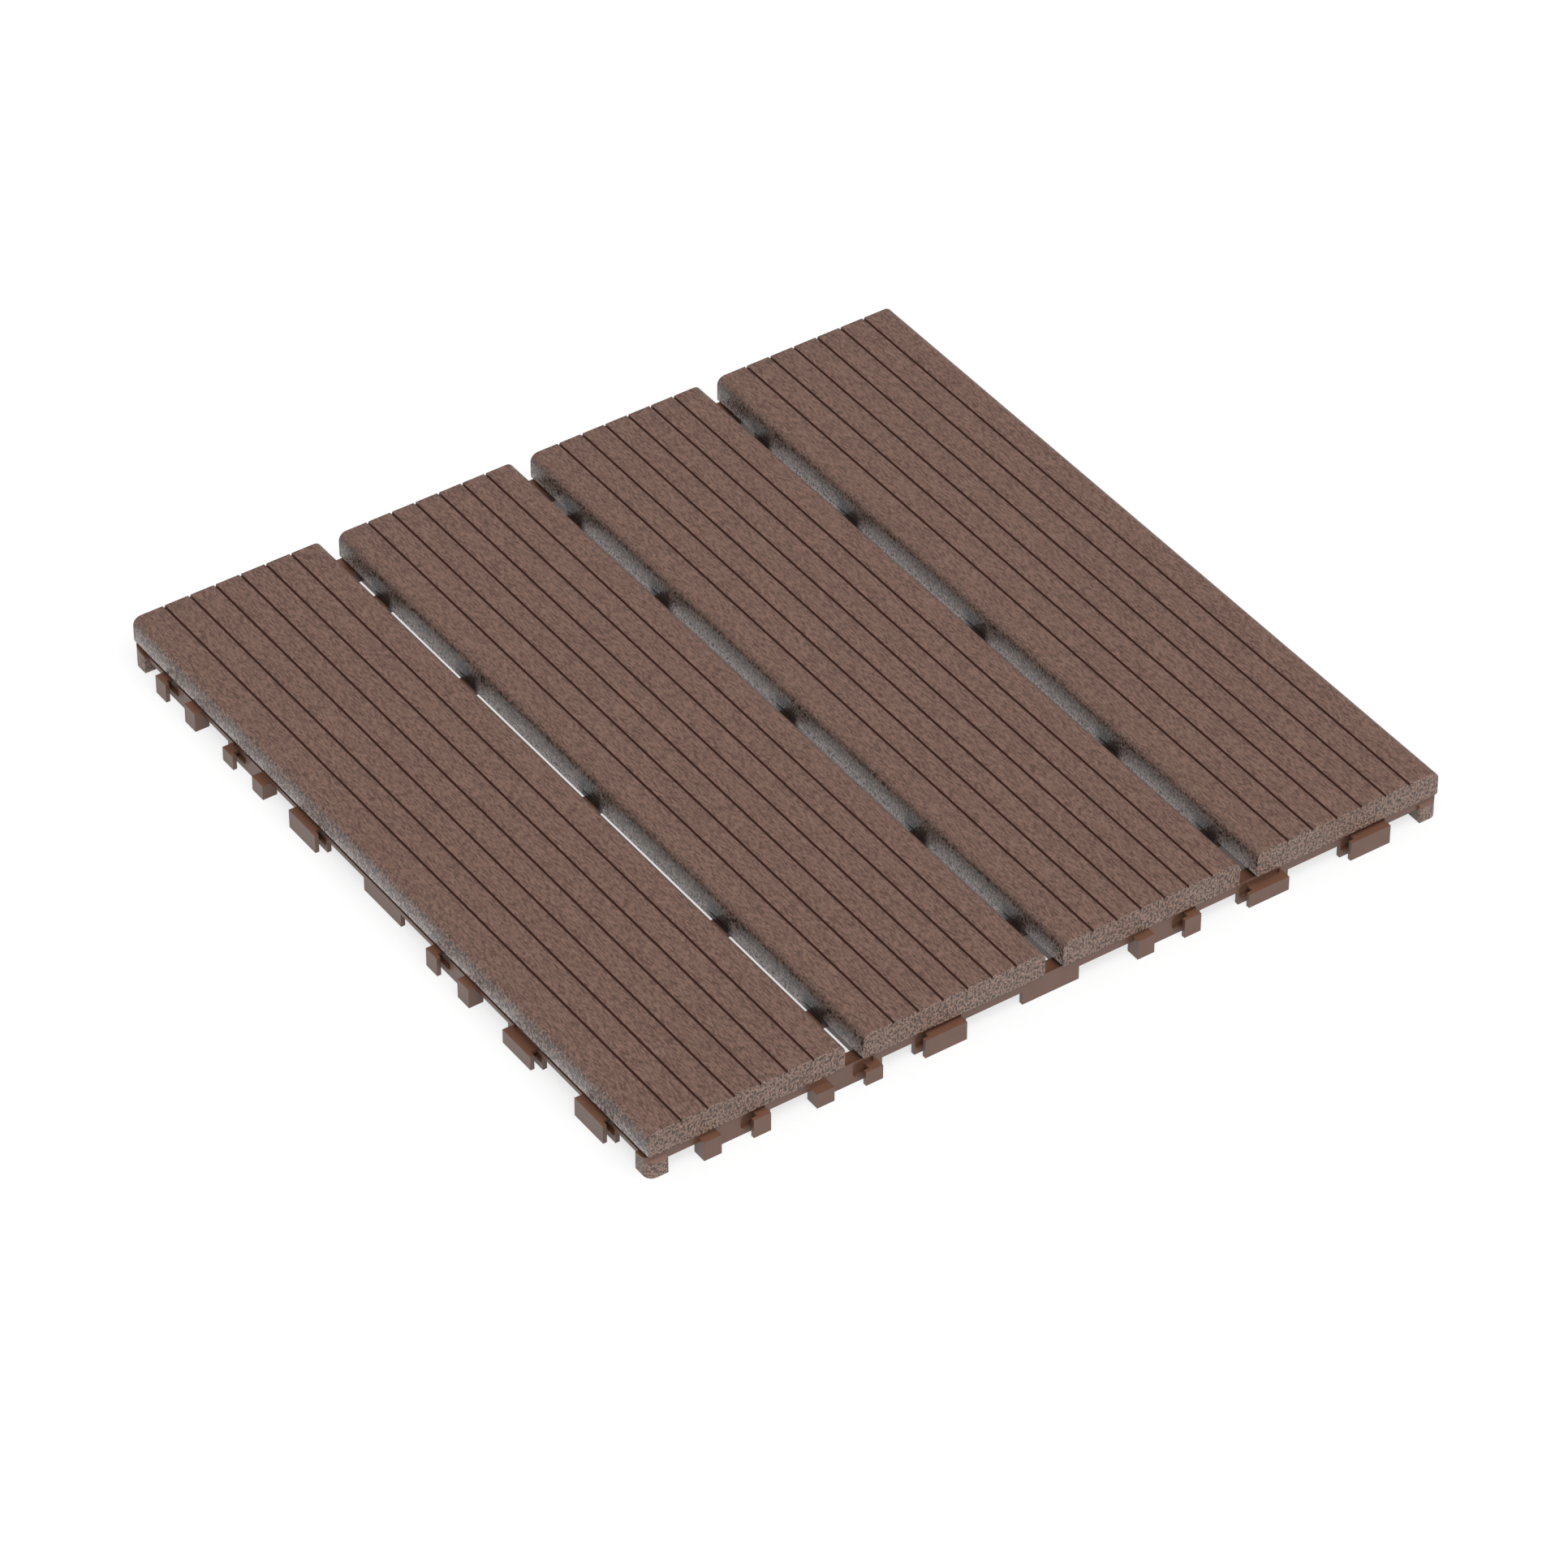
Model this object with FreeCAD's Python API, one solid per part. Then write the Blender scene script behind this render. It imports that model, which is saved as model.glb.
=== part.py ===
import FreeCAD, Part
import math
import os

# Interlocking deck tile: four grooved slats screwed to one moulded base with click edges.
# All sizes are in millimetres. The origin is on the ground under the tile's centre.
# +X runs across the slats, +Y along them away from the front edge, and +Z up.

# Heights above the ground
SLAT_BOTTOM_Z = 8.75
SLAT_THICK = 9.5
SLAT_TOP_Z = SLAT_BOTTOM_Z + SLAT_THICK
PLATE_BOTTOM_Z = 5.1
PLATE_TOP_Z = 6.75
RIB_BOTTOM_Z = 1.5

# Slats: two wide ones outside, two narrow ones inside
TILE_HALF = 150.0
OUTER_SLAT_SHARE = 0.478
OUTER_SLAT_W = OUTER_SLAT_SHARE * TILE_HALF
SLAT_GAP = 6.67
INNER_SLAT_W = TILE_HALF - OUTER_SLAT_W - 1.5 * SLAT_GAP
SLAT_TOP_R = 3.0
SLAT_BOTTOM_CHAMFER = 0.5
GROOVES = 6
GROOVE_PITCH_SHARE = 0.1344
GROOVE_TOP_W = 0.95
GROOVE_BOTTOM_W = 0.5
GROOVE_DEPTH = 0.8

# Perimeter of the base
RIM_INSET = 0.85
RIM_OUT = TILE_HALF - RIM_INSET
SIDE_RAIL_W = 8.0
END_RAIL_W = 6.55
END_RAIL_IN = RIM_OUT - END_RAIL_W
COVE_RUN = 5.15
COVE_START = RIM_OUT - COVE_RUN
RIM_TOP_Z = 8.5
FOOT_PROUD = 0.3
FOOT_OUT = TILE_HALF + FOOT_PROUD
FOOT_SIZE = 7.15
FOOT_CORNER_R = 3.0
FOOT_SHOULDER_Z = 5.8

# Ribs and bars under the slats
RIB_T = 1.8
FLUSH_RAIL_W = 8.0
FLUSH_RAIL_T = 1.9
GAP_RIB_INSET = 3.5
MID_RIB_OFFSET = 9.5
BAR_W = 8.0
BAR_SKIN = 1.6
END_BAR_INSET = 26.0
END_BAR_Y = TILE_HALF - END_BAR_INSET
MID_BAR_SHARE = 0.583
MID_BAR_Y = MID_BAR_SHARE * END_BAR_Y
BAR_YS = [-END_BAR_Y, -MID_BAR_Y, 0.0, MID_BAR_Y, END_BAR_Y]
CROSS_RIB_YS = [(a + b) / 2 for a, b in zip(BAR_YS, BAR_YS[1:])]

# Screws
SHANK_D = 3.5
SHANK_LENGTH = 12.0
TIP_LENGTH = 2.5
HEAD_D = 7.0
HEAD_T = 2.1
TIP_D = 0.6
HEAD_CLEARANCE = 0.8
HEAD_SUNK = 1.3
BASE_HOLE_CLEARANCE = 0.5
PILOT_CLEARANCE = 0.1
PILOT_EXTRA_DEPTH = 0.3

# Square screw bosses on the two end bars and square feet on the other three
COUNTERBORE_D = HEAD_D + HEAD_CLEARANCE
COUNTERBORE_DEPTH = HEAD_T + HEAD_SUNK
BOSS_WALL = 1.1
BOSS_W = COUNTERBORE_D + 2 * BOSS_WALL
BOSS_OFFSET = 20.0
FOOT_POST_W = 6.0

# Male click edges: plates that hang outside the wall and are joined to it by a bridge
WALL_T = 1.55
WALL_IN = RIM_OUT - WALL_T
SLOT_W = 1.8
CLIP_IN = RIM_OUT + SLOT_W
CLIP_T = 1.45
CLIP_OUT = CLIP_IN + CLIP_T
TALL_TOP_Z = 7.1
LOW_TOP_Z = 5.35
BRIDGE_T = 1.2
BRIDGE_INSET = 2.0
HOOK_W = 6.3
WIDE_W = 15.6
FLAT_W = 21.55
PAIR_PITCH = 18.1
WALL_MARGIN = 1.9
NOTCH_DEPTH = 1.75

# Blocks: the solid posts beside the hooks
BLOCK_W = 6.4
BLOCK_ROOT = 2.05
BLOCK_IN = RIM_OUT - BLOCK_ROOT
BLOCK_RISE = 0.3

# Pocket in the wall behind each plate, above the lip that a neighbour's bead clicks over
POCKET_DEPTH = 0.9
LIP_Z = 2.3
POCKET_TOP_Z = 7.5
POCKET_R = 1.3
POCKET_CORNER_STEPS = 3
HOOK_POCKET_LEAD = 2.6
WIDE_POCKET_LEAD = 1.5
POCKET_STOP = 1.5

# Female click edges: rails that enter the slots of the neighbouring tile
JOINT_GAP = 3.0
TILE_PITCH = 2 * TILE_HALF + JOINT_GAP
RAIL_CLEARANCE = 0.25
RAIL_T = SLOT_W - 2 * RAIL_CLEARANCE
RAIL_OUT = TILE_PITCH - RIM_OUT - RAIL_CLEARANCE
RAIL_IN = RAIL_OUT - RAIL_T
RAIL_END_CLEARANCE = 0.4
RAIL_HEAD_CLEARANCE = 0.3
WEB_T = 1.5
BEAD_OUT = 0.45
BEAD_ABOVE_LIP = 0.3
BEAD_TOP_DROP = 0.3

# Click features along an edge: kind, start as a share of TILE_HALF, and whether it is a tall one
FRONT_EDGE = [
    ("pair", -0.8773, True),
    ("pair", -0.6017, False),
    ("wide", -0.3337, True),
    ("flat", -0.0747, True),
    ("pair", 0.204, True),
    ("wide", 0.4927, False),
    ("wide", 0.7597, True),
]
LEFT_EDGE = [
    ("wide", -0.858, True),
    ("wide", -0.591, False),
    ("pair", -0.3597, True),
    ("flat", -0.0653, True),
    ("wide", 0.2363, True),
    ("pair", 0.4467, False),
    ("pair", 0.7223, True),
]

# Sides that stand for a full turn on the screws and their holes
ROUND_SIDES = 8

CENTRE = FreeCAD.Vector(0, 0, 0)
UP = FreeCAD.Vector(0, 0, 1)


def box(x0, x1, y0, y1, z0, z1):
    """A box between two corners, given axis by axis."""
    return Part.makeBox(x1 - x0, y1 - y0, z1 - z0, FreeCAD.Vector(x0, y0, z0))


def edge_box(s0, s1, d0, d1, z0, z1):
    """A box on the front edge: s along the edge, d outwards from the tile's centre."""
    return box(s0, s1, -d1, -d0, z0, z1)


def ring(x, y, diameter, z):
    """The corners of a flat many-sided ring, the plan of the small round features."""
    corners = []
    for side in range(ROUND_SIDES):
        angle = 2 * math.pi * (side + 0.5) / ROUND_SIDES
        offset = FreeCAD.Vector(math.cos(angle), math.sin(angle), 0) * (diameter / 2)
        corners.append(FreeCAD.Vector(x, y, z) + offset)
    return corners


def pin(x, y, diameter, z0, z1):
    """A small upright pin or hole."""
    return extruded(ring(x, y, diameter, z0), UP * (z1 - z0))


def post(x, y, width, top):
    """A square pillar from the ground up."""
    half = width / 2
    return box(x - half, x + half, y - half, y + half, 0, top)


def extruded(points, direction):
    """A prism on a closed polygon."""
    wire = Part.makePolygon(points + [points[0]])
    return Part.Face(wire).extrude(direction)


def fused(shapes):
    """One solid from overlapping and touching shapes."""
    return shapes[0].multiFuse(shapes[1:]).removeSplitter()


def slat_spans():
    """The left and right side of each slat, from -X to +X."""
    spans = []
    left = -TILE_HALF
    for width in (OUTER_SLAT_W, INNER_SLAT_W, INNER_SLAT_W, OUTER_SLAT_W):
        spans.append((left, left + width))
        left += width + SLAT_GAP
    return spans


def screw_places():
    """Two screws at each end of each slat, on the end bars."""
    places = []
    for left, right in slat_spans():
        middle = (left + right) / 2
        for y in (BAR_YS[0], BAR_YS[-1]):
            for side in (-1, 1):
                places.append((middle + side * BOSS_OFFSET, y))
    return places


# Slats

def on_end(x, z):
    """A point in the plane of the front ends."""
    return FreeCAD.Vector(x, -TILE_HALF, z)


def segments(points):
    """Straight edges through a list of points in the plane of the front ends."""
    ends = [on_end(x, z) for x, z in points]
    return [Part.makeLine(a, b) for a, b in zip(ends, ends[1:])]


def shoulder(start, end, centre_x, side):
    """The rounded shoulder between the tread and a flank."""
    reach = SLAT_TOP_R * math.sqrt(0.5)
    middle = on_end(centre_x + side * reach, SLAT_TOP_Z - SLAT_TOP_R + reach)
    return Part.Arc(on_end(*start), middle, on_end(*end)).toShape()


def slat_section(left, right):
    """The extruded section: rounded shoulders, nearly sharp underside and fine grooves on top."""
    pitch = GROOVE_PITCH_SHARE * (right - left)
    shoulder_z = SLAT_TOP_Z - SLAT_TOP_R
    chamfer_z = SLAT_BOTTOM_Z + SLAT_BOTTOM_CHAMFER
    first = (left + right) / 2 - (GROOVES - 1) * pitch / 2
    outline = [(left + SLAT_TOP_R, SLAT_TOP_Z)]
    for number in range(GROOVES):
        x = first + number * pitch
        outline.append((x - GROOVE_TOP_W / 2, SLAT_TOP_Z))
        outline.append((x - GROOVE_BOTTOM_W / 2, SLAT_TOP_Z - GROOVE_DEPTH))
        outline.append((x + GROOVE_BOTTOM_W / 2, SLAT_TOP_Z - GROOVE_DEPTH))
        outline.append((x + GROOVE_TOP_W / 2, SLAT_TOP_Z))
    outline.append((right - SLAT_TOP_R, SLAT_TOP_Z))
    below = [
        (right, shoulder_z),
        (right, chamfer_z),
        (right - SLAT_BOTTOM_CHAMFER, SLAT_BOTTOM_Z),
        (left + SLAT_BOTTOM_CHAMFER, SLAT_BOTTOM_Z),
        (left, chamfer_z),
        (left, shoulder_z),
    ]
    edges = segments(outline)
    edges.append(shoulder(outline[-1], below[0], right - SLAT_TOP_R, 1))
    edges += segments(below)
    edges.append(shoulder(below[-1], outline[0], left + SLAT_TOP_R, -1))
    return Part.Face(Part.Wire(edges))


def make_slat(number):
    """One slat with blind pilot holes for its four screws."""
    left, right = slat_spans()[number]
    slat = slat_section(left, right).extrude(FreeCAD.Vector(0, 2 * TILE_HALF, 0))
    top = COUNTERBORE_DEPTH + SHANK_LENGTH + PILOT_EXTRA_DEPTH
    for x, y in screw_places():
        if left < x < right:
            slat = slat.cut(pin(x, y, SHANK_D + PILOT_CLEARANCE, SLAT_BOTTOM_Z, top))
    return slat


# Screws

def make_screw():
    """A pan-head screw that stands on its head at the origin, with the seat at z = 0."""
    shank_end = SHANK_LENGTH - TIP_LENGTH
    rings = [ring(0, 0, SHANK_D, shank_end), ring(0, 0, TIP_D, SHANK_LENGTH)]
    tip = Part.makeLoft([Part.makePolygon(corners + [corners[0]]) for corners in rings], True, True)
    return fused([pin(0, 0, HEAD_D, -HEAD_T, 0), pin(0, 0, SHANK_D, 0, shank_end), tip])


def make_screws():
    """All screws, each with its head against the seat of its boss."""
    screw = make_screw()
    screws = []
    for x, y in screw_places():
        screws.append(screw.translated(FreeCAD.Vector(x, y, COUNTERBORE_DEPTH)))
    return Part.makeCompound(screws)


# Base: perimeter

def end_profile(d_in, d_out, z_bottom, s0, s1):
    """A bar on the front edge whose top sweeps up in a cove to the rim."""
    run = RIM_OUT - COVE_START
    rise = RIM_TOP_Z - PLATE_TOP_Z
    radius = (run * run + rise * rise) / (2 * rise)
    half_turn = math.asin(run / radius) / 2
    cove_mid = FreeCAD.Vector(
        s0,
        -(COVE_START + radius * math.sin(half_turn)),
        PLATE_TOP_Z + radius * (1 - math.cos(half_turn)),
    )
    corners = [
        FreeCAD.Vector(s0, -d_in, z_bottom),
        FreeCAD.Vector(s0, -d_in, PLATE_TOP_Z),
        FreeCAD.Vector(s0, -COVE_START, PLATE_TOP_Z),
    ]
    rim = FreeCAD.Vector(s0, -RIM_OUT, RIM_TOP_Z)
    outside = [rim]
    if d_out > RIM_OUT:
        outside.append(FreeCAD.Vector(s0, -RIM_OUT, FOOT_SHOULDER_Z + d_out - RIM_OUT))
        outside.append(FreeCAD.Vector(s0, -d_out, FOOT_SHOULDER_Z))
    outside.append(FreeCAD.Vector(s0, -d_out, z_bottom))
    outside.append(corners[0])
    edges = [Part.makeLine(a, b) for a, b in zip(corners, corners[1:])]
    edges.append(Part.Arc(corners[-1], cove_mid, rim).toShape())
    edges += [Part.makeLine(a, b) for a, b in zip(outside, outside[1:])]
    return Part.Face(Part.Wire(edges)).extrude(FreeCAD.Vector(s1 - s0, 0, 0))


def corner_foot():
    """The near right corner foot: a rounded outer edge, the cove on top, a sloping shoulder below."""
    inner = FOOT_OUT - FOOT_SIZE
    block = end_profile(inner, FOOT_OUT, 0, inner, FOOT_OUT)
    plan = box(inner, FOOT_OUT, -FOOT_OUT, -inner, 0, SLAT_BOTTOM_Z)
    outer = [
        edge for edge in plan.Edges
        if all(v.X > inner + FOOT_SIZE / 2 and v.Y < -inner - FOOT_SIZE / 2 for v in edge.Vertexes)
    ]
    return block.common(plan.makeFillet(FOOT_CORNER_R, outer))


def perimeter():
    """Side rails, end rails with coved rims, the ribs at their inner sides, and four feet."""
    side_in = RIM_OUT - SIDE_RAIL_W
    shapes = []
    for side in (0, 180):
        rail = box(side_in, RIM_OUT, -RIM_OUT, RIM_OUT, PLATE_BOTTOM_Z, PLATE_TOP_Z)
        rib_end = END_RAIL_IN + RIB_T
        rib = box(side_in, side_in + RIB_T, -rib_end, rib_end, RIB_BOTTOM_Z, PLATE_TOP_Z)
        end = end_profile(END_RAIL_IN, RIM_OUT, PLATE_BOTTOM_Z, -RIM_OUT, RIM_OUT)
        end_rib = edge_box(-side_in, side_in, END_RAIL_IN, END_RAIL_IN + RIB_T, RIB_BOTTOM_Z, PLATE_TOP_Z)
        foot = corner_foot()
        mirrored_foot = foot.mirror(CENTRE, FreeCAD.Vector(1, 0, 0))
        for shape in (rail, rib, end, end_rib, foot, mirrored_foot):
            shapes.append(shape.rotated(CENTRE, UP, side))
    return shapes


# Base: grid under the slats

def rib_lines():
    """For each slat, the left sides of its four lengthwise ribs."""
    side_in = RIM_OUT - SIDE_RAIL_W
    lines = []
    for left, right in slat_spans():
        middle = (left + right) / 2
        first = -side_in - RIB_T if left < -side_in else left + GAP_RIB_INSET
        last = side_in if right > side_in else right - GAP_RIB_INSET - RIB_T
        inner = [middle + side * MID_RIB_OFFSET - RIB_T / 2 for side in (-1, 1)]
        lines.append([first] + inner + [last])
    return lines


def grid():
    """Lengthwise ribs, short cross ribs, flush rails beside the gaps and T-shaped crossbars."""
    side_in = RIM_OUT - SIDE_RAIL_W
    raised_end = BAR_YS[-1] + BAR_W / 2
    shapes = []
    for (left, right), lines in zip(slat_spans(), rib_lines()):
        for x in lines:
            shapes.append(box(x, x + RIB_T, -END_RAIL_IN, END_RAIL_IN, RIB_BOTTOM_Z, PLATE_TOP_Z))
            shapes.append(box(x, x + RIB_T, -raised_end, raised_end, PLATE_TOP_Z, SLAT_BOTTOM_Z))
        for y in CROSS_RIB_YS:
            y0 = y - RIB_T / 2
            shapes.append(box(lines[0], lines[-1] + RIB_T, y0, y0 + RIB_T, RIB_BOTTOM_Z, SLAT_BOTTOM_Z))
        rail_z = SLAT_BOTTOM_Z - FLUSH_RAIL_T
        if left > -side_in:
            shapes.append(box(left, left + FLUSH_RAIL_W, -raised_end, raised_end, rail_z, SLAT_BOTTOM_Z))
        if right < side_in:
            shapes.append(box(right - FLUSH_RAIL_W, right, -raised_end, raised_end, rail_z, SLAT_BOTTOM_Z))
        pad_left = left if left > -side_in else lines[0]
        pad_right = right if right < side_in else lines[-1] + RIB_T
        for y in BAR_YS:
            y0 = y - BAR_W / 2
            shapes.append(box(pad_left, pad_right, y0, y0 + BAR_W, PLATE_TOP_Z, SLAT_BOTTOM_Z))
    for y in BAR_YS:
        y0 = y - BAR_W / 2
        web0 = y - RIB_T / 2
        shapes.append(box(-side_in, side_in, y0, y0 + BAR_W, PLATE_TOP_Z - BAR_SKIN, PLATE_TOP_Z))
        shapes.append(box(-side_in, side_in, web0, web0 + RIB_T, RIB_BOTTOM_Z, PLATE_TOP_Z))
    return shapes


def bosses():
    """Square pillars that stand on the ground, and the round holes of those that take screws."""
    pillars = []
    holes = []
    for x, y in screw_places():
        pillars.append(post(x, y, BOSS_W, SLAT_BOTTOM_Z))
        holes.append(pin(x, y, COUNTERBORE_D, 0, COUNTERBORE_DEPTH))
        holes.append(pin(x, y, SHANK_D + BASE_HOLE_CLEARANCE, 0, SLAT_BOTTOM_Z))
    for left, right in slat_spans():
        for y in BAR_YS[1:-1]:
            x = (left + right) / 2
            pillars.append(post(x, y, FOOT_POST_W, PLATE_TOP_Z))
    return pillars, holes


# Base: click edges

def pocket_end(s0, s1, top):
    """The left end of a pocket, open towards the outside, with two rounded corners."""
    pocket_in = RIM_OUT - POCKET_DEPTH
    points = [
        FreeCAD.Vector(s1, -CLIP_IN, LIP_Z),
        FreeCAD.Vector(s1, -CLIP_IN, top),
    ]
    for centre_z, first_angle in ((top - POCKET_R, 90), (LIP_Z + POCKET_R, 180)):
        for step in range(POCKET_CORNER_STEPS + 1):
            angle = math.radians(first_angle + 90 * step / POCKET_CORNER_STEPS)
            s = s0 + POCKET_R * (1 + math.cos(angle))
            points.append(FreeCAD.Vector(s, -CLIP_IN, centre_z + POCKET_R * math.sin(angle)))
    return extruded(points, FreeCAD.Vector(0, CLIP_IN - pocket_in, 0))


def clip(start, width, tall, pocket_lead):
    """A male clip: a plate joined to the wall by a bridge, over a pocket with a lip below it."""
    top = TALL_TOP_Z if tall else LOW_TOP_Z
    end = start + width
    bridge_start = start + BRIDGE_INSET
    bridge_bottom = top - BRIDGE_T
    pocket_in = RIM_OUT - POCKET_DEPTH
    pocket_stop = end - POCKET_STOP
    plate = edge_box(start, end, CLIP_IN, CLIP_OUT, 0, top)
    bridge = edge_box(bridge_start, end, WALL_IN, CLIP_OUT, bridge_bottom, top)
    pocket_top = TALL_TOP_Z if tall else POCKET_TOP_Z
    cuts = [
        pocket_end(start - pocket_lead, bridge_start, pocket_top),
        edge_box(bridge_start, pocket_stop, pocket_in, CLIP_IN, LIP_Z, bridge_bottom),
    ]
    if tall:
        cuts.append(edge_box(start, end, RIM_OUT - NOTCH_DEPTH, RIM_OUT, top, SLAT_BOTTOM_Z))
    else:
        cuts.append(edge_box(bridge_start, pocket_stop, pocket_in, RIM_OUT, top, pocket_top))
    return [plate, bridge], cuts


def block(start, tall):
    """A solid post beside a hook."""
    top = (TALL_TOP_Z if tall else LOW_TOP_Z) + BLOCK_RISE
    return edge_box(start, start + BLOCK_W, BLOCK_IN, CLIP_OUT, 0, top)


def male_edge(features):
    """The shapes added to the front edge and the shapes cut from it."""
    added = []
    removed = []
    for kind, share, tall in features:
        start = share * TILE_HALF
        if kind == "flat":
            added.append(edge_box(start, start + FLAT_W, WALL_IN, RIM_OUT, 0, PLATE_BOTTOM_Z))
            continue
        if kind == "wide":
            wall_start = start - WALL_MARGIN
            clip_start = start
            parts, cuts = clip(start, WIDE_W, tall, WIDE_POCKET_LEAD)
            clip_end = start + WIDE_W
        else:
            wall_start = start
            clip_start = start + PAIR_PITCH
            added.append(block(start, tall))
            parts, cuts = clip(clip_start, HOOK_W, tall, HOOK_POCKET_LEAD)
            clip_end = clip_start + HOOK_W
        wall_end = clip_end + WALL_MARGIN
        added.append(edge_box(wall_start, wall_end, WALL_IN, RIM_OUT, 0, PLATE_BOTTOM_Z))
        added += parts
        removed += cuts
    return added, removed


def female_edge(features):
    """Closed loops on the front edge that take the clips of a neighbouring tile."""
    shapes = []
    for kind, share, tall in features:
        start = share * TILE_HALF
        if kind == "flat":
            shapes.append(edge_box(start, start + FLAT_W, WALL_IN, RIM_OUT, 0, PLATE_BOTTOM_Z))
            continue
        first = start if kind == "wide" else start + PAIR_PITCH
        width = WIDE_W if kind == "wide" else HOOK_W
        inner0 = first - RAIL_END_CLEARANCE
        inner1 = first + width + RAIL_END_CLEARANCE
        top = (TALL_TOP_Z if tall else LOW_TOP_Z) - BRIDGE_T - RAIL_HEAD_CLEARANCE
        outer0 = inner0 - WEB_T
        outer1 = inner1 + WEB_T
        shapes.append(edge_box(outer0, outer1, WALL_IN, RIM_OUT, 0, PLATE_BOTTOM_Z))
        shapes.append(edge_box(outer0, inner0, RIM_OUT, RAIL_OUT, 0, top))
        shapes.append(edge_box(inner1, outer1, RIM_OUT, RAIL_OUT, 0, top))
        shapes.append(edge_box(outer0, outer1, RAIL_IN, RAIL_OUT, 0, top))
        shapes.append(bead(first, width, top))
    return shapes


def bead(first, width, top):
    """A wedge along the rail that clicks over the neighbour's lip."""
    low = LIP_Z + BEAD_ABOVE_LIP
    high = top - BEAD_TOP_DROP
    d_in = RAIL_OUT - RAIL_T / 2
    points = [
        FreeCAD.Vector(first, -d_in, low),
        FreeCAD.Vector(first, -RAIL_OUT - BEAD_OUT, low),
        FreeCAD.Vector(first, -RAIL_OUT, high),
        FreeCAD.Vector(first, -d_in, high),
    ]
    return extruded(points, FreeCAD.Vector(width - POCKET_STOP - RAIL_END_CLEARANCE, 0, 0))


def make_base():
    """The moulded base in one piece."""
    diagonal = FreeCAD.Vector(1, -1, 0)
    across_y = FreeCAD.Vector(0, 1, 0)
    front_added, front_removed = male_edge(FRONT_EDGE)
    left_added, left_removed = male_edge(LEFT_EDGE)
    added = perimeter() + grid()
    added += front_added
    added += [shape.mirror(CENTRE, diagonal) for shape in left_added]
    added += [shape.mirror(CENTRE, across_y) for shape in female_edge(FRONT_EDGE)]
    added += [shape.rotated(CENTRE, UP, 90) for shape in female_edge(LEFT_EDGE)]
    pillars, holes = bosses()
    removed = holes + front_removed + [shape.mirror(CENTRE, diagonal) for shape in left_removed]
    return fused(added + pillars).cut(removed).removeSplitter()


os.makedirs("parts", exist_ok=True)
make_base().exportStep("parts/base_grid.step")
for slat_number in range(len(slat_spans())):
    make_slat(slat_number).exportStep("parts/slat_" + str(slat_number + 1) + ".step")
make_screws().exportStep("parts/fixing_screws.step")
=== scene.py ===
# %% [markdown]
# # A click-together deck tile
# The real object is a square of four ribbed wood-plastic boards on one injection-moulded base.
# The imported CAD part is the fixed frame: every piece made here lies in the same coordinates.

# %% Load the frame
import math

import bmesh
import bpy
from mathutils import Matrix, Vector
from mathutils.geometry import tessellate_polygon


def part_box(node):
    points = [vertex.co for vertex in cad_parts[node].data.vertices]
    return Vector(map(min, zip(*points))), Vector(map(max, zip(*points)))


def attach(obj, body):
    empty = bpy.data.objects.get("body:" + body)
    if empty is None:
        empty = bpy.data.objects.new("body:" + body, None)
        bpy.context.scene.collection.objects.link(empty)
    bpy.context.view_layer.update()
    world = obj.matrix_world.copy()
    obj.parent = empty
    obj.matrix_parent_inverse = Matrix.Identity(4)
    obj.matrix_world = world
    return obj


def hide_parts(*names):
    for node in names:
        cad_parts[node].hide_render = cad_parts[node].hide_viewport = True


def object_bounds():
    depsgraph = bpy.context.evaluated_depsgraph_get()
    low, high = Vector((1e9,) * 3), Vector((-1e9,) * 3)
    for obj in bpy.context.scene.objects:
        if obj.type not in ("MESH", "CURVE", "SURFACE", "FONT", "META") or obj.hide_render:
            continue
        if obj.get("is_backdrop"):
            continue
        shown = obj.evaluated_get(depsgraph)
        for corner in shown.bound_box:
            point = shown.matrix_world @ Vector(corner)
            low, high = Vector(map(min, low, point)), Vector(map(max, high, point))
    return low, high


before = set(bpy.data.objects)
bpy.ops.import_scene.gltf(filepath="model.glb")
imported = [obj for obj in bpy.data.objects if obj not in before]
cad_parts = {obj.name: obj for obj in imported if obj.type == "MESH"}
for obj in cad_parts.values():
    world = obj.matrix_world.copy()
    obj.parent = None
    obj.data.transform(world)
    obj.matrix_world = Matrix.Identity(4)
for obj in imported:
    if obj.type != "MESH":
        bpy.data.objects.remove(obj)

MM = 0.001
bounds_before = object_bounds()
print("CAD bounds", bounds_before)

# %% [markdown]
# ## Small helpers for shader nodes
# A material is a little network. Writing it by hand is long, so two helpers add a node and
# join two sockets. Textures are fed with Object coordinates, which are metres on the real part,
# so a scale of 1000 gives detail one millimetre wide on every piece.

# %% Node helpers
def add_node(tree, kind, **settings):
    node = tree.nodes.new(kind)
    for name, value in settings.items():
        setattr(node, name, value)
    return node


def set_inputs(node, **values):
    for name, value in values.items():
        node.inputs[name.replace("_", " ")].default_value = value
    return node


def maths(tree, operation, first, second=None, clamp=False):
    node = add_node(tree, "ShaderNodeMath", operation=operation, use_clamp=clamp)
    for slot, value in ((0, first), (1, second)):
        if value is None:
            continue
        if isinstance(value, (int, float)):
            node.inputs[slot].default_value = value
        else:
            tree.links.new(value, node.inputs[slot])
    return node.outputs[0]


def new_material(name, roughness, ior):
    material = bpy.data.materials.new(name)
    material.use_nodes = True
    tree = material.node_tree
    shader = tree.nodes["Principled BSDF"]
    shader.inputs["Roughness"].default_value = roughness
    shader.inputs["IOR"].default_value = ior
    return material, tree, shader


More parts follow.
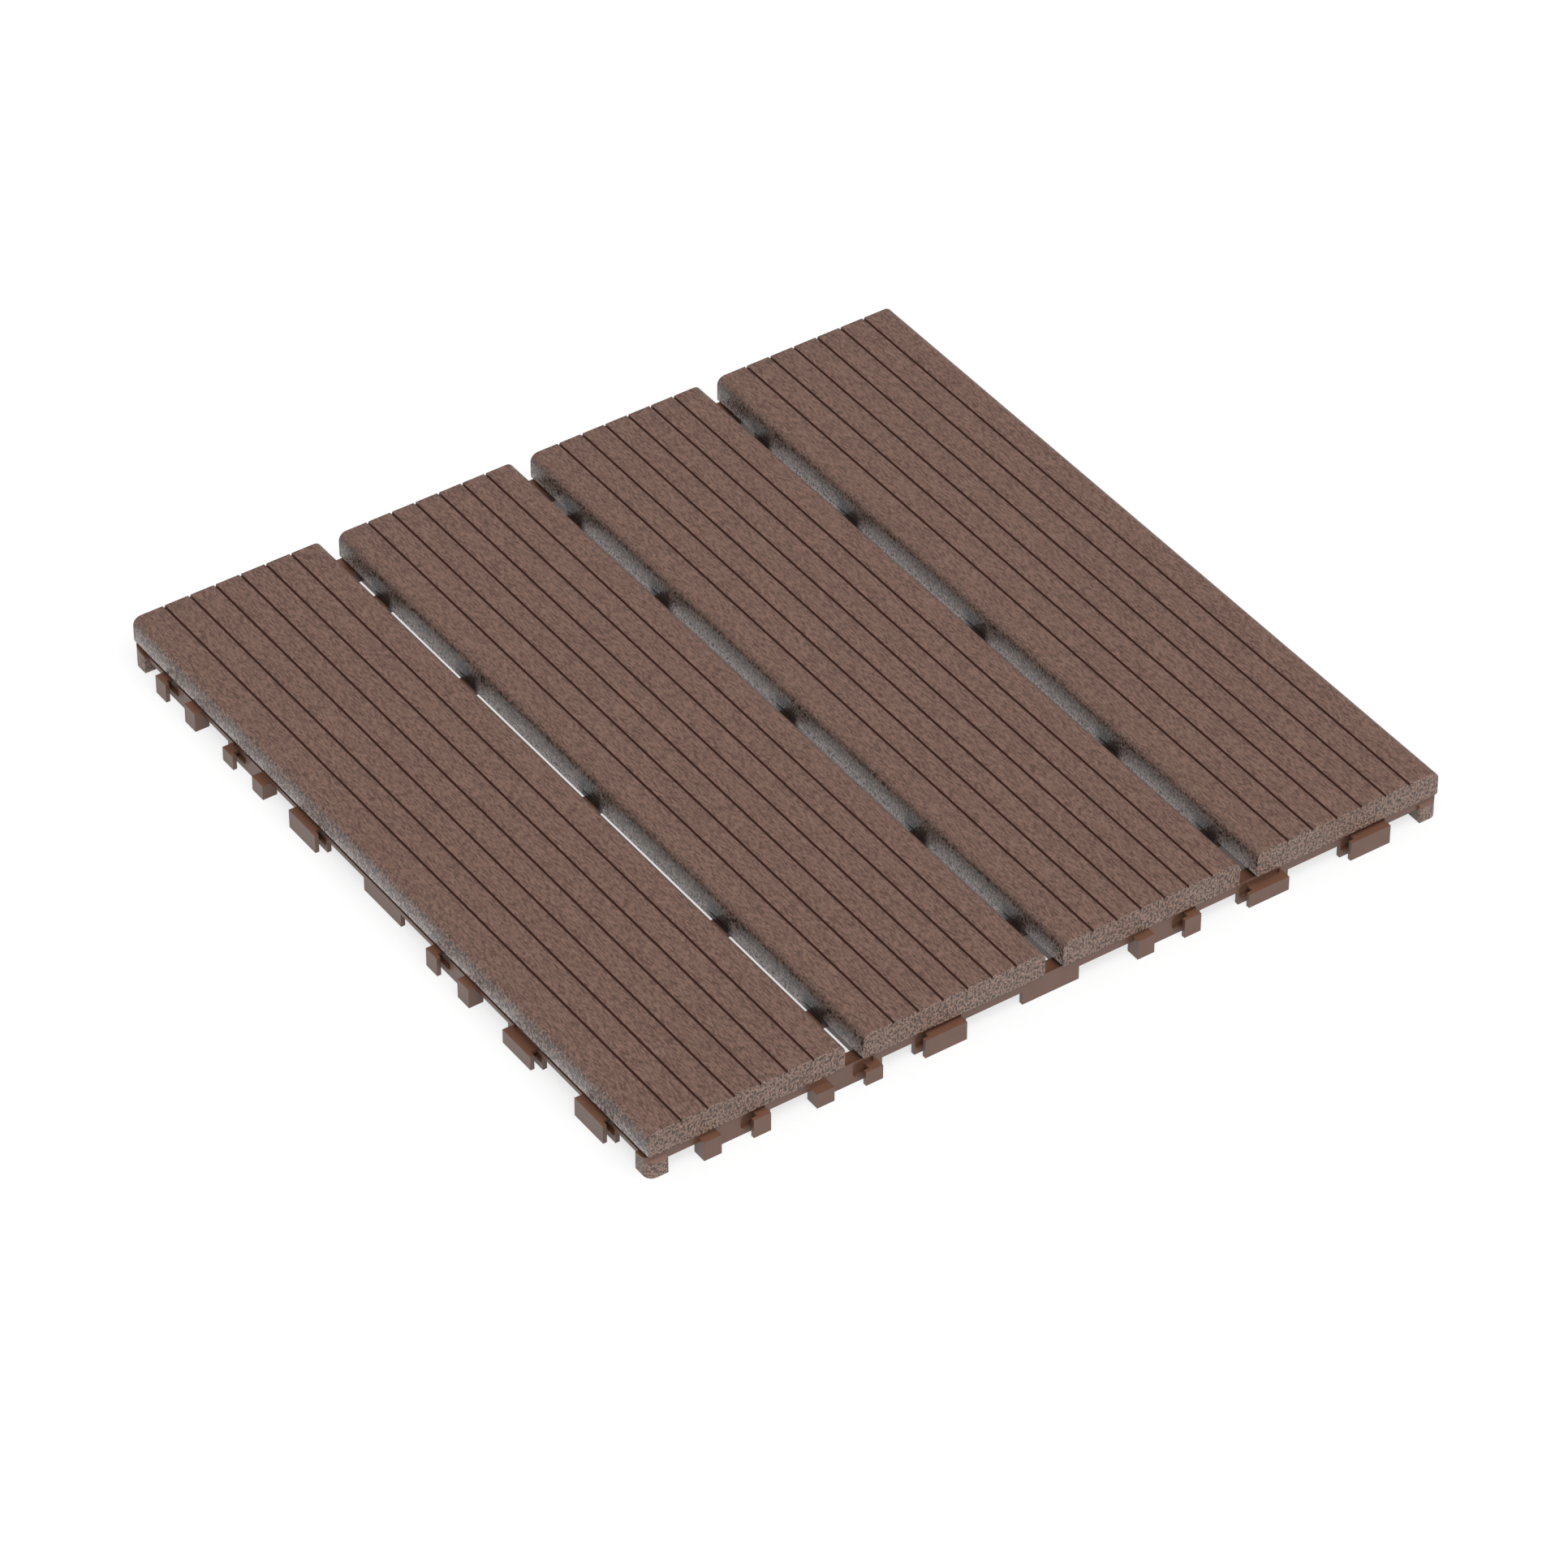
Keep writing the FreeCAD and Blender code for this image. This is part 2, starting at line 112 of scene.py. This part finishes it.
def noise(tree, vector, scale, detail=2.0, roughness=0.5, stretch=(1, 1, 1), distortion=0.0):
    mapping = add_node(tree, "ShaderNodeMapping")
    mapping.inputs["Scale"].default_value = stretch
    tree.links.new(vector, mapping.inputs["Vector"])
    texture = add_node(tree, "ShaderNodeTexNoise")
    set_inputs(texture, Scale=scale, Detail=detail, Roughness=roughness, Distortion=distortion)
    tree.links.new(mapping.outputs["Vector"], texture.inputs["Vector"])
    return texture.outputs["Fac"]


def remap(tree, value, low, high, to_low=0.0, to_high=1.0):
    node = add_node(tree, "ShaderNodeMapRange", clamp=True)
    set_inputs(node, From_Min=low, From_Max=high, To_Min=to_low, To_Max=to_high)
    tree.links.new(value, node.inputs["Value"])
    return node.outputs["Result"]


def mix_colour(tree, factor, first, second):
    node = add_node(tree, "ShaderNodeMix", data_type="RGBA")
    for slot, value in ((6, first), (7, second)):
        if isinstance(value, tuple):
            node.inputs[slot].default_value = value + (1.0,)
        else:
            tree.links.new(value, node.inputs[slot])
    tree.links.new(factor, node.inputs[0])
    return node.outputs[2]


print("node helpers ready")

# %% [markdown]
# ## The composite of the slats
# Wood flour and polyethylene are pressed through a die, then the tread is brushed. Brushing
# leaves short dark dashes along the board, while the flanks and the sawn ends keep a leathery,
# wrinkled skin. One material makes both: an attribute called relief, painted on the mesh,
# says how much of the wrinkled skin each place shows. The flanks also carry painted light: a
# painted reflection of the white ground makes them paler low down, and painted shade darkens
# them beside the crossbars, under the shoulders and along the lower edges.

# %% Composite material
TREAD_LIGHT = (0.176, 0.092, 0.065)
TREAD_DARK = (0.060, 0.024, 0.014)
GROOVE_DARK = (0.058, 0.020, 0.012)
SKIN_LIGHT = (0.435, 0.262, 0.198)
SKIN_DARK = (0.050, 0.027, 0.019)
SIDE_TOP_DARK = (0.020, 0.011, 0.008)
SIDE_TOP_LIGHT = (0.440, 0.275, 0.215)
# Painted reflection: pale grey tones low on the flanks and on the base's rails stand in for the white ground they
# mirror.
PAINTED_REFLECTION_DARK = (0.200, 0.158, 0.150)
PAINTED_REFLECTION_LIGHT = (0.880, 0.790, 0.770)
TOP_SPARSENESS = 2.0
FOOT_SPARSENESS = 0.6
REFLECTION_CURVE = 2.3
SIDE_HIGH_Z = 0.0165
SIDE_LOW_Z = 0.0093
SKIN_BUMP = 0.00020
# Painted shade: a near-black tone laid where shade falls on the flanks and on the base.
PAINTED_SHADE_TONE = (0.012, 0.008, 0.007)
CROSSBARS = (0.0723, 0.124)
INNER_X = 0.147


def wrinkled_skin(tree, place, stretch):
    """Light worm-like ridges on a darker ground, 0 in the creases and 1 on the ridges."""
    lines = noise(tree, place, 1000.0, 2.0, 0.5, stretch, 0.6)
    ridges = maths(tree, "ABSOLUTE", maths(tree, "SUBTRACT", lines, 0.5))
    veins = remap(tree, ridges, 0.0, 0.12, 1.0, 0.0)
    grains = remap(tree, noise(tree, place, 1000.0, 1.0, 0.5, stretch, 0.0), 0.40, 0.60)
    both = maths(tree, "ADD", maths(tree, "MULTIPLY", veins, 0.5), maths(tree, "MULTIPLY", grains, 0.5))
    return remap(tree, both, 0.2, 0.8)


def beside_crossbar(tree, along):
    """1 within a crossbar's width along the slat, 0 a few millimetres away."""
    nearest = along
    for bar in CROSSBARS:
        nearest = maths(tree, "MINIMUM", nearest, maths(tree, "ABSOLUTE", maths(tree, "SUBTRACT", along, bar)))
    return remap(tree, nearest, 0.0044, 0.0076, 1.0, 0.0)


def painted_shade(tree, axes):
    """How much painted shade a flank gets: most beside the crossbars, a little at the top of a gap and at its
    lower edge.
    """
    along = maths(tree, "ABSOLUTE", axes.outputs["Y"])
    beside = beside_crossbar(tree, along)
    low = remap(tree, axes.outputs["Z"], 0.0115, 0.0160, 1.0, 0.0)
    high = remap(tree, axes.outputs["Z"], 0.0112, 0.0165, 0.0, 0.50)
    edge = maths(tree, "LESS_THAN", axes.outputs["Z"], 0.0093)
    open_end = maths(tree, "MULTIPLY", maths(tree, "GREATER_THAN", along, 0.129), edge)
    in_shade = maths(tree, "MAXIMUM", maths(tree, "MULTIPLY", beside, low), maths(tree, "MAXIMUM", open_end, high))
    in_gap = maths(tree, "LESS_THAN", maths(tree, "ABSOLUTE", axes.outputs["X"]), INNER_X)
    inner = maths(tree, "MULTIPLY", maths(tree, "MULTIPLY", in_shade, in_gap), 0.97)
    outer = maths(tree, "MULTIPLY", edge, maths(tree, "SUBTRACT", 1.0, in_gap))
    return maths(tree, "MAXIMUM", inner, maths(tree, "MULTIPLY", outer, 0.75))


def side_colour(tree, place, skin):
    """The pressed flank: brown under the shoulder, paler and greyer towards its lower edge, where the paleness is
    a painted reflection of the white ground; painted shade is laid over it.
    """
    axes = add_node(tree, "ShaderNodeSeparateXYZ")
    tree.links.new(place, axes.inputs[0])
    low_down = remap(tree, axes.outputs["Z"], SIDE_LOW_Z, SIDE_HIGH_Z, 1.0, 0.0)
    # Painted reflection of the white ground, strongest at the lower edge.
    painted_reflection = maths(tree, "POWER", low_down, REFLECTION_CURVE)
    dark = mix_colour(tree, painted_reflection, SIDE_TOP_DARK, PAINTED_REFLECTION_DARK)
    light = mix_colour(tree, painted_reflection, SIDE_TOP_LIGHT, PAINTED_REFLECTION_LIGHT)
    sparseness = remap(tree, painted_reflection, 0.0, 1.0, TOP_SPARSENESS, FOOT_SPARSENESS)
    unshaded = mix_colour(tree, maths(tree, "POWER", skin, sparseness), dark, light)
    # Painted shade over the flank: beside the crossbars, under the shoulder and along the lower edge.
    return mix_colour(tree, painted_shade(tree, axes), unshaded, PAINTED_SHADE_TONE)


def composite_material():
    material, tree, shader = new_material("composite", 0.46, 1.6)
    place = add_node(tree, "ShaderNodeTexCoord").outputs["Object"]
    relief = add_node(tree, "ShaderNodeAttribute", attribute_name="relief").outputs["Fac"]

    dashes = noise(tree, place, 1000.0, 2.0, 0.55, (2.4, 0.50, 1.5), 0.25)
    fibres = noise(tree, place, 1000.0, 2.0, 0.6, (4.4, 0.9, 2.5))
    grain = maths(tree, "ADD", maths(tree, "MULTIPLY", dashes, 0.7), maths(tree, "MULTIPLY", fibres, 0.3))
    brushed = remap(tree, grain, 0.40, 0.58)
    tread = mix_colour(tree, brushed, TREAD_DARK, TREAD_LIGHT)

    skin = wrinkled_skin(tree, place, (1.25, 1.10, 0.85))
    sawn = add_node(tree, "ShaderNodeAttribute", attribute_name="sawn").outputs["Fac"]
    end = mix_colour(tree, skin, SKIN_DARK, SKIN_LIGHT)
    rough_part = mix_colour(tree, sawn, side_colour(tree, place, skin), end)
    groove = add_node(tree, "ShaderNodeAttribute", attribute_name="groove").outputs["Fac"]
    top = mix_colour(tree, groove, tread, GROOVE_DARK)
    colour = mix_colour(tree, relief, top, rough_part)
    tree.links.new(colour, shader.inputs["Base Color"])

    smooth_part = maths(tree, "MULTIPLY", brushed, maths(tree, "SUBTRACT", 1.0, relief))
    height = maths(tree, "ADD", maths(tree, "MULTIPLY", smooth_part, 0.25), maths(tree, "MULTIPLY", skin, relief))
    tree.links.new(remap(tree, relief, 0.0, 1.0, 0.48, 0.30), shader.inputs["Roughness"])
    bump = add_node(tree, "ShaderNodeBump")
    set_inputs(bump, Strength=1.0, Distance=SKIN_BUMP)
    tree.links.new(height, bump.inputs["Height"])
    tree.links.new(bump.outputs["Normal"], shader.inputs["Normal"])
    return material


COMPOSITE = composite_material()
print("material", COMPOSITE.name)

# %% [markdown]
# ## The plastic of the base
# The base is brown polypropylene: smooth where the mould is polished, pebbled on the lower part
# of the four corner feet and on the rails under the slat edges. The pebbles are switched on by
# position, because the mould's texture stops at a straight line. The rails are painted pale, a
# painted reflection of the white ground, and painted shade darkens the band in front of each gap
# and the rails beside the crossbars. A Bevel node softens the sharp moulded edges a little.

# %% Base material
PLASTIC = (0.150, 0.067, 0.039)
EDGE_RADIUS = 0.00018
FOOT_FROM = 0.1431
PEBBLE_TOP = 0.0058
RAIL_FROM = 0.0068
RAIL_END = 0.1281
SIDE_FROM = 0.1412
SHADE_FROM = 0.1285
SHADE_END = 0.1420


def within(tree, value, low, high):
    """1 where the value lies between two limits, else 0."""
    above = maths(tree, "GREATER_THAN", value, low)
    return maths(tree, "MULTIPLY", above, maths(tree, "LESS_THAN", value, high))


def plastic_material():
    material, tree, shader = new_material("base_plastic", 0.38, 1.66)
    place = add_node(tree, "ShaderNodeTexCoord").outputs["Object"]
    axes = add_node(tree, "ShaderNodeSeparateXYZ")
    tree.links.new(place, axes.inputs[0])
    side = maths(tree, "ABSOLUTE", axes.outputs["X"])
    end = maths(tree, "ABSOLUTE", axes.outputs["Y"])
    at_corner = maths(tree, "MULTIPLY", within(tree, side, FOOT_FROM, 1.0), within(tree, end, FOOT_FROM, 1.0))
    on_foot = maths(tree, "MULTIPLY", at_corner, within(tree, axes.outputs["Z"], -1.0, PEBBLE_TOP))
    inside = maths(tree, "MULTIPLY", within(tree, side, 0.0, SIDE_FROM), within(tree, end, -1.0, RAIL_END))
    on_rail = maths(tree, "MULTIPLY", inside, within(tree, axes.outputs["Z"], RAIL_FROM, 1.0))
    pebbled = maths(tree, "MAXIMUM", on_foot, on_rail)

    skin = wrinkled_skin(tree, place, (1.15, 1.15, 1.00))
    mottle = noise(tree, place, 1800.0, 2.0, 0.5)
    height = maths(tree, "ADD", maths(tree, "MULTIPLY", skin, pebbled), maths(tree, "MULTIPLY", mottle, 0.02))
    shade = remap(tree, noise(tree, place, 90.0, 2.0, 0.5), 0.3, 0.7)
    plain = mix_colour(tree, shade, tuple(0.93 * c for c in PLASTIC), tuple(1.07 * c for c in PLASTIC))
    foot = mix_colour(tree, skin, SKIN_DARK, SKIN_LIGHT)
    # Painted reflection: the rails under the slat edges take the pale tones of the flanks' lower edge.
    rail = mix_colour(tree, maths(tree, "POWER", skin, FOOT_SPARSENESS), PAINTED_REFLECTION_DARK, PAINTED_REFLECTION_LIGHT)
    rough = mix_colour(tree, on_rail, foot, rail)
    # Painted shade: the band in front of each gap and the rails beside the crossbars take the dark shade tone.
    shaded = maths(tree, "MULTIPLY", within(tree, end, SHADE_FROM, SHADE_END), within(tree, side, 0.0, SIDE_FROM))
    shaded = maths(tree, "MULTIPLY", shaded, within(tree, axes.outputs["Z"], RAIL_FROM, 1.0))
    shaded = maths(tree, "MAXIMUM", shaded, maths(tree, "MULTIPLY", on_rail, beside_crossbar(tree, end)))
    base_colour = mix_colour(tree, shaded, mix_colour(tree, pebbled, plain, rough), PAINTED_SHADE_TONE)
    tree.links.new(base_colour, shader.inputs["Base Color"])

    softened = add_node(tree, "ShaderNodeBevel", samples=4)
    softened.inputs["Radius"].default_value = EDGE_RADIUS
    bump = add_node(tree, "ShaderNodeBump")
    set_inputs(bump, Strength=1.0, Distance=SKIN_BUMP)
    tree.links.new(height, bump.inputs["Height"])
    tree.links.new(softened.outputs["Normal"], bump.inputs["Normal"])
    tree.links.new(bump.outputs["Normal"], shader.inputs["Normal"])
    return material


PLASTIC_LOOK = plastic_material()
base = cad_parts["base_grid"]
base.data.materials.clear()
base.data.materials.append(PLASTIC_LOOK)
print("material", PLASTIC_LOOK.name, "on", len(base.data.polygons), "triangles")

# %% [markdown]
# ## The steel of the screws
# Zinc-plated steel is a metal, so Metallic is 1 and the colour is the reflection's tint.
# A fine noise in the roughness gives the slightly cloudy plating.

# %% Screw material
ZINC = (0.62, 0.62, 0.60)


def zinc_material():
    material, tree, shader = new_material("screw_steel", 0.35, 1.5)
    shader.inputs["Metallic"].default_value = 1.0
    place = add_node(tree, "ShaderNodeTexCoord").outputs["Object"]
    cloud = noise(tree, place, 900.0, 3.0, 0.6)
    tree.links.new(remap(tree, cloud, 0.3, 0.7, 0.28, 0.45), shader.inputs["Roughness"])
    tint = mix_colour(tree, remap(tree, cloud, 0.3, 0.7), tuple(0.85 * c for c in ZINC), ZINC)
    tree.links.new(tint, shader.inputs["Base Color"])
    return material


ZINC_LOOK = zinc_material()
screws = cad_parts["fixing_screws"]
screws.data.materials.clear()
screws.data.materials.append(ZINC_LOOK)
print("material", ZINC_LOOK.name)

# %% [markdown]
# ## The slats
# Each board is an extrusion, so its mesh is one section repeated along Y. The section is walked
# once round: flank, rounded shoulder, tread with its six grooves, and underside. Softened edges
# at the groove lips and at the sawn ends catch the light as on the real board, which a bare
# extrusion would not do. The relief value of each point is kept with it.

# %% Section of a slat
SHOULDER_R = 3.0 * MM
FOOT_R = 0.6 * MM
LIP_R = 0.14 * MM
GROOVE_HALF_TOP = 0.42 * MM
GROOVE_HALF_BOTTOM = 0.25 * MM
GROOVE_DEPTH = 0.8 * MM
GROOVES = 6
PITCH_SHARE = 0.1344
SLATS = ("slat_1", "slat_2", "slat_3", "slat_4")
SHOULDER_STEPS = 10


def arc_points(x, z, radius, start, stop, steps):
    points = []
    for step in range(steps + 1):
        angle = math.radians(start + (stop - start) * step / steps)
        points.append((x + radius * math.cos(angle), z + radius * math.sin(angle)))
    return points


def slat_section(low, high):
    points = []
    pitch = PITCH_SHARE * (high.x - low.x)
    for x, z in arc_points(low.x + SHOULDER_R, high.z - SHOULDER_R, SHOULDER_R, 180, 90, SHOULDER_STEPS):
        points.append((x, z, (high.z - z) / SHOULDER_R, 0.0))
    first = (low.x + high.x) / 2 - (GROOVES - 1) * pitch / 2
    for number in range(GROOVES):
        middle = first + number * pitch
        half = [
            (GROOVE_HALF_TOP + LIP_R, high.z, 0.0),
            (GROOVE_HALF_TOP + 0.3 * LIP_R, high.z - 0.3 * LIP_R, 0.3),
            (GROOVE_HALF_TOP, high.z - LIP_R, 1.0),
            (GROOVE_HALF_BOTTOM, high.z - GROOVE_DEPTH, 1.0),
        ]
        points += [(middle - x, z, 0.0, dark) for x, z, dark in half]
        points += [(middle + x, z, 0.0, dark) for x, z, dark in reversed(half)]
    for x, z in arc_points(high.x - SHOULDER_R, high.z - SHOULDER_R, SHOULDER_R, 90, 0, SHOULDER_STEPS):
        points.append((x, z, (high.z - z) / SHOULDER_R, 0.0))
    for x, z in arc_points(high.x - FOOT_R, low.z + FOOT_R, FOOT_R, 0, -90, 3):
        points.append((x, z, 1.0, 0.0))
    for x, z in arc_points(low.x + FOOT_R, low.z + FOOT_R, FOOT_R, -90, -180, 3):
        points.append((x, z, 1.0, 0.0))
    return points


print("section of a slat has", len(slat_section(*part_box(SLATS[0]))), "points")

# %% [markdown]
# The rings next to each end are drawn in a little and moved towards the end, which rounds the
# sawn edge. Drawing in follows the bisector of the two neighbouring sides of the section.

# %% Build the slats
END_R = 0.12 * MM
END_STEPS = 3
LENGTH_STEPS = 24
SHARP_ANGLE = math.radians(35)


def inward(points):
    shifts = []
    for index, (x, z, relief, dark) in enumerate(points):
        before = points[index - 1]
        after = points[(index + 1) % len(points)]
        side_a = Vector((x - before[0], z - before[1])).normalized()
        side_b = Vector((after[0] - x, after[1] - z)).normalized()
        normal_a = Vector((side_a.y, -side_a.x))
        normal_b = Vector((side_b.y, -side_b.x))
        bisector = normal_a + normal_b
        length = max(bisector.length, 1e-9)
        bisector = bisector / length
        shifts.append(bisector / max(bisector.dot(normal_a), 0.5))
    return shifts


def build_slat(node):
    low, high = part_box(node)
    points = slat_section(low, high)
    shifts = inward(points)
    rings = []
    for step in range(END_STEPS + 1):
        angle = math.pi / 2 * step / END_STEPS
        rings.append((low.y + END_R * (1 - math.sin(angle)), END_R * (1 - math.cos(angle))))
    for step in range(1, LENGTH_STEPS):
        rings.append((low.y + (high.y - low.y) * step / LENGTH_STEPS, 0.0))
    rings = sorted(set(rings))
    rings = rings + [(high.y - (y - low.y), inset) for y, inset in rings[:END_STEPS + 1]]
    rings.sort()
    bm = bmesh.new()
    relief_layer = bm.verts.layers.float.new("relief")
    sawn_layer = bm.verts.layers.float.new("sawn")
    groove_layer = bm.verts.layers.float.new("groove")
    loops = []
    for y, inset in rings:
        loop = []
        at_end = min(y - low.y, high.y - y) < END_R
        for (x, z, relief, dark), shift in zip(points, shifts):
            vert = bm.verts.new((x + shift.x * inset, y, z + shift.y * inset))
            vert[relief_layer] = 1.0 if at_end else relief
            vert[sawn_layer] = 1.0 if at_end else 0.0
            vert[groove_layer] = 0.0 if at_end else dark
            loop.append(vert)
        loops.append(loop)
    count = len(points)
    for loop_a, loop_b in zip(loops, loops[1:]):
        for index in range(count):
            following = (index + 1) % count
            bm.faces.new((loop_a[index], loop_b[index], loop_b[following], loop_a[following]))
    for face in bm.faces:
        face.smooth = True
    caps = []
    for loop in (loops[0], loops[-1]):
        for corners in tessellate_polygon([[vert.co for vert in loop]]):
            caps.append(bm.faces.new([loop[corner] for corner in corners]))
    bmesh.ops.recalc_face_normals(bm, faces=bm.faces)
    for edge in bm.edges:
        edge.smooth = edge.calc_face_angle(0.0) < SHARP_ANGLE
    for face in caps:
        face.smooth = False
    mesh = bpy.data.meshes.new(node + "_board")
    bm.to_mesh(mesh)
    bm.free()
    board = bpy.data.objects.new(node + "_board", mesh)
    bpy.context.scene.collection.objects.link(board)
    mesh.materials.append(COMPOSITE)
    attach(board, "root")
    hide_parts(node)
    return board


for name in SLATS:
    board = build_slat(name)
    print(board.name, "polygons", len(board.data.polygons))

# %% [markdown]
# ## Studio
# The photograph is a cut-out on pure white. Faces that look up are the brightest, those to the
# front a little less, those to the left much less, so one broad lamp stands high in front and an
# even sky fills in. Only these two light the tile, so its colours render as they are written.
# The floor's glow is switched on by the kind of ray: the camera and reflections see a white
# ground, a pale sheen low on the flanks, while no light from the glow falls on the tile. Much of
# the paleness low on the flanks is a painted reflection in their colour.

# %% World, floor and lamp
WHITE = (1.0, 1.0, 1.0, 1.0)
SKY = 0.57
FLOOR_WHITE = 0.25
GLOW_SEEN = 0.72
KEY_STRENGTH = 2.35
KEY_SPREAD = math.radians(55)
KEY_HEIGHT = math.radians(65)
KEY_TURN = math.radians(10)


def seen_or_mirrored(tree):
    """1 for rays of the camera and of reflections, 0 for the light that falls on things."""
    path = add_node(tree, "ShaderNodeLightPath")
    mirrored = maths(tree, "MAXIMUM", path.outputs["Is Glossy Ray"], path.outputs["Is Transmission Ray"])
    return maths(tree, "MAXIMUM", path.outputs["Is Camera Ray"], mirrored)


def build_world():
    world = bpy.data.worlds.new("studio")
    world.use_nodes = True
    tree = world.node_tree
    tree.nodes.clear()
    light = add_node(tree, "ShaderNodeBackground")
    light.inputs["Color"].default_value = WHITE
    light.inputs["Strength"].default_value = SKY
    output = add_node(tree, "ShaderNodeOutputWorld")
    tree.links.new(light.outputs[0], output.inputs["Surface"])
    bpy.context.scene.world = world


def build_floor():
    bpy.ops.mesh.primitive_plane_add(size=6.0, location=(0, 0, 0))
    floor = bpy.context.object
    floor.name = "floor"
    material, tree, shader = new_material("floor_white", 0.9, 1.3)
    shader.inputs["Base Color"].default_value = (FLOOR_WHITE, FLOOR_WHITE, FLOOR_WHITE, 1.0)
    shader.inputs["Specular IOR Level"].default_value = 0.0
    shader.inputs["Emission Color"].default_value = WHITE
    glow = maths(tree, "MULTIPLY", seen_or_mirrored(tree), GLOW_SEEN)
    tree.links.new(glow, shader.inputs["Emission Strength"])
    floor.data.materials.append(material)
    floor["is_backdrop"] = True


def build_key():
    data = bpy.data.lights.new("key", "SUN")
    data.energy = KEY_STRENGTH
    data.angle = KEY_SPREAD
    key = bpy.data.objects.new("key", data)
    towards = Vector((
        -math.cos(KEY_HEIGHT) * math.sin(KEY_TURN),
        -math.cos(KEY_HEIGHT) * math.cos(KEY_TURN),
        math.sin(KEY_HEIGHT),
    ))
    key.rotation_euler = towards.to_track_quat("Z", "Y").to_euler()
    bpy.context.scene.collection.objects.link(key)


build_world()
build_floor()
build_key()
print("sky", SKY, "floor glow", GLOW_SEEN, "for the camera and reflections only")

# %% [markdown]
# ## Camera
# The camera's place was solved from the tile's corners and groove ends in the photograph, for a
# tile of 300 mm. A long lens far away keeps the sides nearly parallel, as in the photograph.

# %% Camera
CAMERA_AT = Vector((-1.0691, -1.5567, 1.5585))
LOOK_AT = Vector((-0.011346, -0.019984, -0.00025))
LENS = 175.2
SENSOR = 36.0


def build_camera():
    data = bpy.data.cameras.new("camera")
    data.lens = LENS
    data.sensor_width = SENSOR
    data.clip_end = 20.0
    camera = bpy.data.objects.new("camera", data)
    camera.location = CAMERA_AT
    camera.rotation_euler = (LOOK_AT - CAMERA_AT).to_track_quat("-Z", "Y").to_euler()
    bpy.context.scene.collection.objects.link(camera)
    bpy.context.scene.camera = camera
    print("camera distance", round((LOOK_AT - CAMERA_AT).length, 3))


build_camera()
bpy.context.scene.view_settings.view_transform = "Standard"

# %% [markdown]
# ## Sizes
# The dressed tile should keep to the CAD box, so both boxes are printed.

# %% Print the sizes
bounds_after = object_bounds()


def as_list(value):
    if isinstance(value, dict):
        return {key: as_list(item) for key, item in value.items()}
    if isinstance(value, (int, float, str)) or value is None:
        return value
    return [as_list(item) for item in value]


{"before": as_list(bounds_before), "after": as_list(bounds_after)}
print("dressed bounds", bounds_after)
